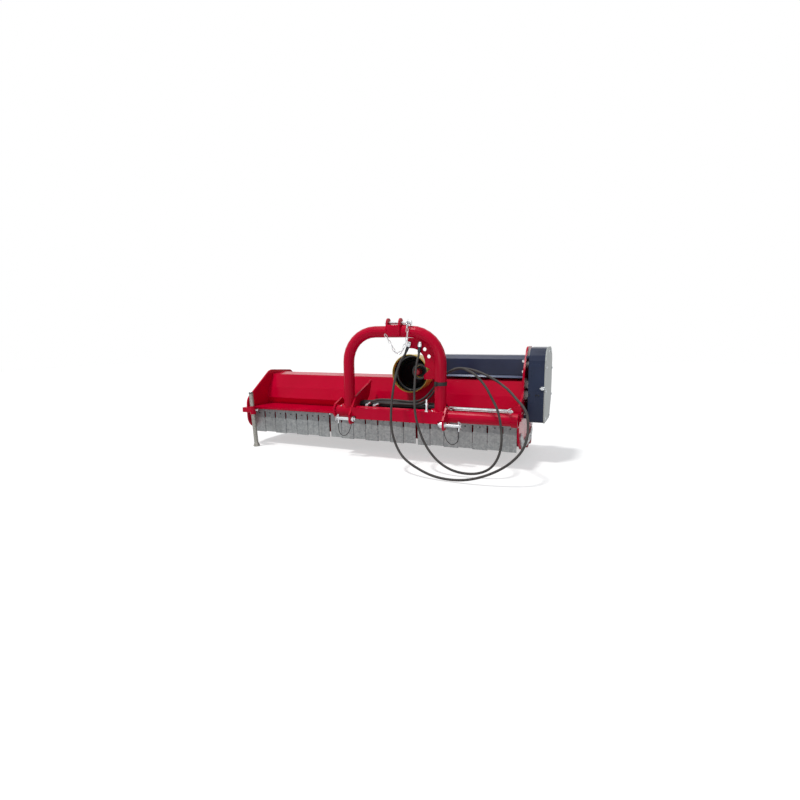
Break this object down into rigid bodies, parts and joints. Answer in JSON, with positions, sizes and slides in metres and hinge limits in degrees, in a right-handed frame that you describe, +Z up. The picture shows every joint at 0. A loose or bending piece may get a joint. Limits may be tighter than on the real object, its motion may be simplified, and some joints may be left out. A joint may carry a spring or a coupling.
{
  "type": "offset tractor mulcher",
  "caption": "Wide flail mulcher for a tractor's rear hitch: hooded hammer rotor with belt drive at one end, hinged front flaps, rear roller, and a tubular arch carriage that slides sideways.",
  "frame": {"origin": "on the ground under the middle of the machine's box, hoses left out", "axes": "+X along the rotor towards the belt case, +Y away from the tractor, +Z up"},
  "size_m": [2.235, 1.1142, 0.9382],
  "materials": {
    "paint_red": "semi-gloss enamel",
    "paint_slate": "semi-gloss enamel",
    "paint_light_grey": "satin enamel",
    "galvanised_steel": "galvanised",
    "zinc_steel": "zinc plated",
    "bare_steel": "worn",
    "chrome_rod": "hard chrome",
    "cast_iron_black": "painted casting",
    "black_rubber": "matt",
    "shield_yellow": "moulded",
    "cap_red": "moulded",
    "black_enamel": "gloss enamel"
  },
  "bodies": {
    "frame": {"hood_shell": "paint_red", "gearbox_seat": "paint_red", "end_plate_left": "paint_red", "end_plate_right": "paint_red", "skid_left": "galvanised_steel", "skid_right": "galvanised_steel", "flap_rod": "zinc_steel", "slide_tube": "paint_red", "slide_bracket_left": "paint_red", "slide_bracket_right": "paint_red", "ram_rod": "chrome_rod", "ram_bolt": "zinc_steel", "gearbox": "cast_iron_black", "pto_shield": "shield_yellow", "shaft_cover": "paint_slate", "belt_case": "paint_slate", "belt_case_lid": "paint_light_grey", "drive_belt": "black_rubber", "rotor_bearing_left": "cast_iron_black", "rotor_bearing_right": "cast_iron_black", "shaft_bearing": "cast_iron_black", "counter_knife": "bare_steel", "stand_socket": "paint_red", "roller_bracket_left": "paint_red", "roller_bracket_right": "paint_red"},
    "rotor": {"rotor_tube": "bare_steel", "rotor_pulley": "cast_iron_black"},
    "hammers_1": {"hammer_row_1": "bare_steel"},
    "hammers_2": {"hammer_row_2": "bare_steel"},
    "hammers_3": {"hammer_row_3": "bare_steel"},
    "cross_shaft": {"cross_shaft": "bare_steel", "shaft_pulley": "cast_iron_black"},
    "input_shaft": {"pto_stub": "bare_steel", "pto_cap": "cap_red"},
    "roller": {"rear_roller": "paint_red"},
    "flap_group_left": {"flaps_left": "galvanised_steel"},
    "flap_group_middle": {"flaps_middle": "galvanised_steel"},
    "flap_group_right": {"flaps_right": "galvanised_steel"},
    "rear_hood": {"rear_hood": "paint_red"},
    "stand": {"stand_leg": "galvanised_steel"},
    "stand_screw": {"stand_clamp_screw": "zinc_steel"},
    "carriage": {"mast_arch": "paint_red", "carriage_frame": "paint_red", "top_link_ears": "paint_red", "top_link_pin": "zinc_steel", "top_pin_chain": "zinc_steel", "coupler_plate": "paint_red", "coupler_a": "zinc_steel", "coupler_b": "zinc_steel", "hose_a": "black_rubber", "hose_b": "black_rubber", "ram_barrel": "black_enamel", "hitch_pin_left": "zinc_steel", "hitch_pin_right": "zinc_steel", "linch_pin_left": "zinc_steel", "linch_pin_right": "zinc_steel", "lanyard_left": "black_rubber", "lanyard_right": "black_rubber"},
    "ring_left": {"linch_ring_left": "zinc_steel"},
    "ring_right": {"linch_ring_right": "zinc_steel"}
  },
  "joints": [
    {"name": "carriage_slide", "type": "slide", "parent": "frame", "child": "carriage", "axis": [1, 0, 0], "range_m": [0, 0.24]},
    {"name": "rotor_spin", "type": "hinge", "parent": "frame", "child": "rotor", "pos_m": [-0.0455, 0.1255, 0.34], "axis": [1, 0, 0], "continuous": true},
    {"name": "hammer_row_1_swing", "type": "hinge", "parent": "rotor", "child": "hammers_1", "pos_m": [-0.0455, 0.1255, 0.258], "axis": [1, 0, 0], "range_deg": [-110, 110]},
    {"name": "hammer_row_2_swing", "type": "hinge", "parent": "rotor", "child": "hammers_2", "pos_m": [-0.0455, 0.19651, 0.381], "axis": [1, 0, 0], "range_deg": [-2, 180]},
    {"name": "hammer_row_3_swing", "type": "hinge", "parent": "rotor", "child": "hammers_3", "pos_m": [-0.0455, 0.05449, 0.381], "axis": [1, 0, 0], "range_deg": [-180, 2]},
    {"name": "cross_shaft_spin", "type": "hinge", "parent": "frame", "child": "cross_shaft", "pos_m": [0.6545, 0.1005, 0.571], "axis": [1, 0, 0], "continuous": true},
    {"name": "input_shaft_spin", "type": "hinge", "parent": "frame", "child": "input_shaft", "pos_m": [0.2385, -0.0345, 0.571], "axis": [0, -1, 0], "continuous": true},
    {"name": "roller_spin", "type": "hinge", "parent": "frame", "child": "roller", "pos_m": [-0.0455, 0.3505, 0.066], "axis": [1, 0, 0], "continuous": true},
    {"name": "rear_hood_hinge", "type": "hinge", "parent": "frame", "child": "rear_hood", "pos_m": [-0.0455, 0.2975, 0.462], "axis": [1, 0, 0], "range_deg": [0, 60]},
    {"name": "stand_slide", "type": "slide", "parent": "frame", "child": "stand", "axis": [-0.0785, 0, 0.9969], "range_m": [0, 0.2]},
    {"name": "stand_screw_slide", "type": "slide", "parent": "frame", "child": "stand_screw", "axis": [0.9969, 0, 0.0785], "range_m": [0, 0.012]},
    {"name": "linch_ring_left_hinge", "type": "hinge", "parent": "carriage", "child": "ring_left", "pos_m": [-0.2157, -0.3905, 0.29], "axis": [0, 1, 0], "range_deg": [0, 120]},
    {"name": "linch_ring_right_hinge", "type": "hinge", "parent": "carriage", "child": "ring_right", "pos_m": [0.6393, -0.3905, 0.29], "axis": [0, -1, 0], "range_deg": [0, 120]},
    {"name": "flaps_left_hinge", "type": "hinge", "parent": "frame", "child": "flap_group_left", "pos_m": [-0.0455, -0.2145, 0.265], "axis": [1, 0, 0], "range_deg": [-25, 70]},
    {"name": "flaps_middle_hinge", "type": "hinge", "parent": "frame", "child": "flap_group_middle", "pos_m": [-0.0455, -0.2145, 0.265], "axis": [1, 0, 0], "range_deg": [-25, 70]},
    {"name": "flaps_right_hinge", "type": "hinge", "parent": "frame", "child": "flap_group_right", "pos_m": [-0.0455, -0.2145, 0.265], "axis": [1, 0, 0], "range_deg": [-25, 70]}
  ],
  "couplings": [
    {"joint": "cross_shaft_spin", "follows": "rotor_spin", "ratio": 0.5914},
    {"joint": "input_shaft_spin", "follows": "rotor_spin", "ratio": 0.2957}
  ]
}
